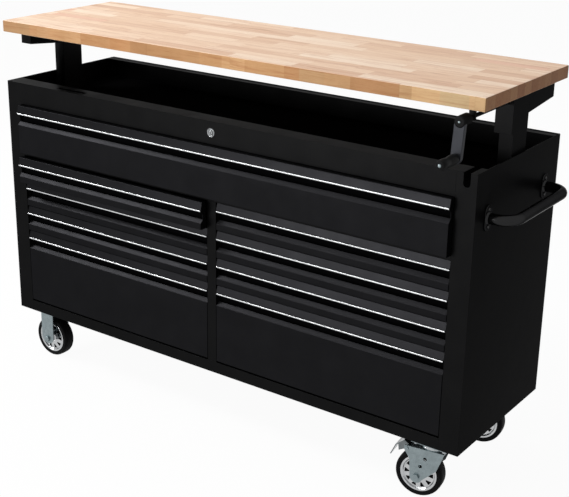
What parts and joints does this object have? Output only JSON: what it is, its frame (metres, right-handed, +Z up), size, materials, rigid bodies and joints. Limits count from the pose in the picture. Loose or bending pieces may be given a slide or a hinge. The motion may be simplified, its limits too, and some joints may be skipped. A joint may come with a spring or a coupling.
{
  "type": "mobile tool chest",
  "caption": "Wide black steel drawer cabinet on casters with an open top compartment under a butcher-block worktop raised on lift columns by a hand crank.",
  "frame": {"origin": "middle of the bounding box, on the floor under the casters", "axes": "+X along the chest to the right as seen from the front, +Y from the front to the back, +Z up"},
  "size_m": [1.6315, 0.592, 1.065],
  "materials": {
    "body_paint": "satin black powder coat",
    "drawer_paint": "satin black powder coat",
    "gloss_paint": "gloss black",
    "dark_steel": "dark grey, semi-gloss",
    "bright_trim": "brushed, bright",
    "lock_chrome": "polished",
    "zinc_plate": "zinc plated, bluish",
    "wheel_metal": "bright zinc",
    "plain_steel": "bright zinc",
    "beech": "oiled butcher block, staves along the length",
    "tyre_rubber": "matt black",
    "grip_plastic": "matt black"
  },
  "bodies": {
    "cabinet": {"cabinet_shell": "body_paint", "base_pan": "body_paint", "front_frame": "body_paint", "inner_panels": "body_paint", "top_apron": "body_paint", "compartment_floor": "body_paint", "cabinet_slide_rails": "plain_steel", "lock_housing": "lock_chrome", "side_handle": "gloss_paint", "outer_columns": "body_paint", "caster_mounts": "zinc_plate", "screws": "plain_steel"},
    "lift": {"worktop": "beech", "lift_frame": "body_paint", "inner_columns": "body_paint"},
    "crank_arm": {"crank": "dark_steel"},
    "grip": {"crank_grip": "grip_plastic"},
    "cross_rod": {"cross_shaft": "plain_steel"},
    "screw_left": {"lead_screw_left": "plain_steel"},
    "screw_right": {"lead_screw_right": "plain_steel"},
    "lock_core": {"lock_plug": "lock_chrome"},
    "drawer_unit_top": {"drawer_top": "drawer_paint", "pull_trim_top": "bright_trim"},
    "middle_unit_top": {"slide_middle_top": "plain_steel"},
    "drawer_unit_left_1": {"drawer_left_1": "drawer_paint", "pull_trim_left_1": "bright_trim"},
    "middle_unit_left_1": {"slide_middle_left_1": "plain_steel"},
    "drawer_unit_left_2": {"drawer_left_2": "drawer_paint", "pull_trim_left_2": "bright_trim"},
    "middle_unit_left_2": {"slide_middle_left_2": "plain_steel"},
    "drawer_unit_left_3": {"drawer_left_3": "drawer_paint", "pull_trim_left_3": "bright_trim"},
    "middle_unit_left_3": {"slide_middle_left_3": "plain_steel"},
    "drawer_unit_left_4": {"drawer_left_4": "drawer_paint", "pull_trim_left_4": "bright_trim"},
    "middle_unit_left_4": {"slide_middle_left_4": "plain_steel"},
    "drawer_unit_right_1": {"drawer_right_1": "drawer_paint", "pull_trim_right_1": "bright_trim"},
    "middle_unit_right_1": {"slide_middle_right_1": "plain_steel"},
    "drawer_unit_right_2": {"drawer_right_2": "drawer_paint", "pull_trim_right_2": "bright_trim"},
    "middle_unit_right_2": {"slide_middle_right_2": "plain_steel"},
    "drawer_unit_right_3": {"drawer_right_3": "drawer_paint", "pull_trim_right_3": "bright_trim"},
    "middle_unit_right_3": {"slide_middle_right_3": "plain_steel"},
    "drawer_unit_right_4": {"drawer_right_4": "drawer_paint", "pull_trim_right_4": "bright_trim"},
    "middle_unit_right_4": {"slide_middle_right_4": "plain_steel"},
    "wheel_front_left": {"wheel_hub_front_left": "wheel_metal", "tyre_front_left": "tyre_rubber"},
    "wheel_rear_left": {"wheel_hub_rear_left": "wheel_metal", "tyre_rear_left": "tyre_rubber"},
    "wheel_front_right": {"wheel_hub_front_right": "wheel_metal", "tyre_front_right": "tyre_rubber"},
    "wheel_rear_right": {"wheel_hub_rear_right": "wheel_metal", "tyre_rear_right": "tyre_rubber"},
    "swivel_front": {"swivel_fork_front": "zinc_plate"},
    "pedal_front": {"brake_pedal_front": "zinc_plate"},
    "swivel_rear": {"swivel_fork_rear": "zinc_plate"},
    "pedal_rear": {"brake_pedal_rear": "zinc_plate"}
  },
  "joints": [
    {"name": "lock_turn", "type": "hinge", "parent": "cabinet", "child": "lock_core", "pos_m": [-0.03575, -0.164, 0.856], "axis": [0, 1, 0], "range_deg": [0, 90]},
    {"name": "worktop_lift", "type": "slide", "parent": "cabinet", "child": "lift", "axis": [0, 0, 1], "range_m": [-0.144, 0.02]},
    {"name": "crank_turn", "type": "hinge", "parent": "lift", "child": "crank_arm", "pos_m": [0.71175, -0.164, 1.017], "axis": [0, 1, 0], "range_deg": [-6484, 904]},
    {"name": "cross_shaft_turn", "type": "hinge", "parent": "lift", "child": "cross_rod", "pos_m": [-0.03575, 0.066, 0.99], "axis": [1, 0, 0], "range_deg": [-6484, 904]},
    {"name": "lead_screw_left_turn", "type": "hinge", "parent": "lift", "child": "screw_left", "pos_m": [-0.78325, 0.066, 0.94], "axis": [0, 0, 1], "range_deg": [-6484, 904]},
    {"name": "lead_screw_right_turn", "type": "hinge", "parent": "lift", "child": "screw_right", "pos_m": [0.71175, 0.066, 0.94], "axis": [0, 0, 1], "range_deg": [-904, 6484]},
    {"name": "grip_spin", "type": "hinge", "parent": "crank_arm", "child": "grip", "pos_m": [0.70675, -0.2925, 0.932], "axis": [0, 1, 0], "continuous": true},
    {"name": "drawer_top_slide", "type": "slide", "parent": "cabinet", "child": "drawer_unit_top", "axis": [0, -1, 0], "range_m": [-0.02, 0.36]},
    {"name": "middle_top_slide", "type": "slide", "parent": "cabinet", "child": "middle_unit_top", "axis": [0, -1, 0], "range_m": [-0.0101, 0.1801]},
    {"name": "drawer_left_1_slide", "type": "slide", "parent": "cabinet", "child": "drawer_unit_left_1", "axis": [0, -1, 0], "range_m": [-0.026, 0.354]},
    {"name": "middle_left_1_slide", "type": "slide", "parent": "cabinet", "child": "middle_unit_left_1", "axis": [0, -1, 0], "range_m": [-0.0131, 0.1771]},
    {"name": "drawer_left_2_slide", "type": "slide", "parent": "cabinet", "child": "drawer_unit_left_2", "axis": [0, -1, 0], "range_m": [0, 0.38]},
    {"name": "middle_left_2_slide", "type": "slide", "parent": "cabinet", "child": "middle_unit_left_2", "axis": [0, -1, 0], "range_m": [-0.0001, 0.1901]},
    {"name": "drawer_left_3_slide", "type": "slide", "parent": "cabinet", "child": "drawer_unit_left_3", "axis": [0, -1, 0], "range_m": [0, 0.38]},
    {"name": "middle_left_3_slide", "type": "slide", "parent": "cabinet", "child": "middle_unit_left_3", "axis": [0, -1, 0], "range_m": [-0.0001, 0.1901]},
    {"name": "drawer_left_4_slide", "type": "slide", "parent": "cabinet", "child": "drawer_unit_left_4", "axis": [0, -1, 0], "range_m": [0, 0.38]},
    {"name": "middle_left_4_slide", "type": "slide", "parent": "cabinet", "child": "middle_unit_left_4", "axis": [0, -1, 0], "range_m": [-0.0001, 0.1901]},
    {"name": "drawer_right_1_slide", "type": "slide", "parent": "cabinet", "child": "drawer_unit_right_1", "axis": [0, -1, 0], "range_m": [0, 0.38]},
    {"name": "middle_right_1_slide", "type": "slide", "parent": "cabinet", "child": "middle_unit_right_1", "axis": [0, -1, 0], "range_m": [-0.0001, 0.1901]},
    {"name": "drawer_right_2_slide", "type": "slide", "parent": "cabinet", "child": "drawer_unit_right_2", "axis": [0, -1, 0], "range_m": [0, 0.38]},
    {"name": "middle_right_2_slide", "type": "slide", "parent": "cabinet", "child": "middle_unit_right_2", "axis": [0, -1, 0], "range_m": [-0.0001, 0.1901]},
    {"name": "drawer_right_3_slide", "type": "slide", "parent": "cabinet", "child": "drawer_unit_right_3", "axis": [0, -1, 0], "range_m": [0, 0.38]},
    {"name": "middle_right_3_slide", "type": "slide", "parent": "cabinet", "child": "middle_unit_right_3", "axis": [0, -1, 0], "range_m": [-0.0001, 0.1901]},
    {"name": "drawer_right_4_slide", "type": "slide", "parent": "cabinet", "child": "drawer_unit_right_4", "axis": [0, -1, 0], "range_m": [0, 0.38]},
    {"name": "middle_right_4_slide", "type": "slide", "parent": "cabinet", "child": "middle_unit_right_4", "axis": [0, -1, 0], "range_m": [-0.0001, 0.1901]},
    {"name": "wheel_front_left_roll", "type": "hinge", "parent": "cabinet", "child": "wheel_front_left", "pos_m": [-0.72025, -0.108, 0.0635], "axis": [0, 1, 0], "continuous": true},
    {"name": "wheel_rear_left_roll", "type": "hinge", "parent": "cabinet", "child": "wheel_rear_left", "pos_m": [-0.72025, 0.24, 0.0635], "axis": [0, 1, 0], "continuous": true},
    {"name": "swivel_front_turn", "type": "hinge", "parent": "cabinet", "child": "swivel_front", "pos_m": [0.65675, -0.125, 0.149], "axis": [0, 0, 1], "continuous": true},
    {"name": "wheel_front_right_roll", "type": "hinge", "parent": "swivel_front", "child": "wheel_front_right", "pos_m": [0.62209, -0.12987, 0.0635], "axis": [-0.1392, 0.9903, 0], "continuous": true},
    {"name": "pedal_front_press", "type": "hinge", "parent": "swivel_front", "child": "pedal_front", "pos_m": [0.59436, -0.13377, 0.1375], "axis": [0.1392, -0.9903, 0], "range_deg": [0, 10]},
    {"name": "swivel_rear_turn", "type": "hinge", "parent": "cabinet", "child": "swivel_rear", "pos_m": [0.65675, 0.221, 0.149], "axis": [0, 0, 1], "continuous": true},
    {"name": "wheel_rear_right_roll", "type": "hinge", "parent": "swivel_rear", "child": "wheel_rear_right", "pos_m": [0.62209, 0.21613, 0.0635], "axis": [-0.1392, 0.9903, 0], "continuous": true},
    {"name": "pedal_rear_press", "type": "hinge", "parent": "swivel_rear", "child": "pedal_rear", "pos_m": [0.59436, 0.21223, 0.1375], "axis": [0.1392, -0.9903, 0], "range_deg": [0, 10]}
  ],
  "couplings": [
    {"joint": "crank_turn", "follows": "worktop_lift", "rad_per_m": 785.4},
    {"joint": "cross_shaft_turn", "follows": "worktop_lift", "rad_per_m": 785.4},
    {"joint": "lead_screw_left_turn", "follows": "worktop_lift", "rad_per_m": 785.4},
    {"joint": "lead_screw_right_turn", "follows": "worktop_lift", "rad_per_m": -785.4},
    {"joint": "middle_top_slide", "follows": "drawer_top_slide", "ratio": 0.5},
    {"joint": "middle_left_1_slide", "follows": "drawer_left_1_slide", "ratio": 0.5},
    {"joint": "middle_left_2_slide", "follows": "drawer_left_2_slide", "ratio": 0.5},
    {"joint": "middle_left_3_slide", "follows": "drawer_left_3_slide", "ratio": 0.5},
    {"joint": "middle_left_4_slide", "follows": "drawer_left_4_slide", "ratio": 0.5},
    {"joint": "middle_right_1_slide", "follows": "drawer_right_1_slide", "ratio": 0.5},
    {"joint": "middle_right_2_slide", "follows": "drawer_right_2_slide", "ratio": 0.5},
    {"joint": "middle_right_3_slide", "follows": "drawer_right_3_slide", "ratio": 0.5},
    {"joint": "middle_right_4_slide", "follows": "drawer_right_4_slide", "ratio": 0.5}
  ]
}
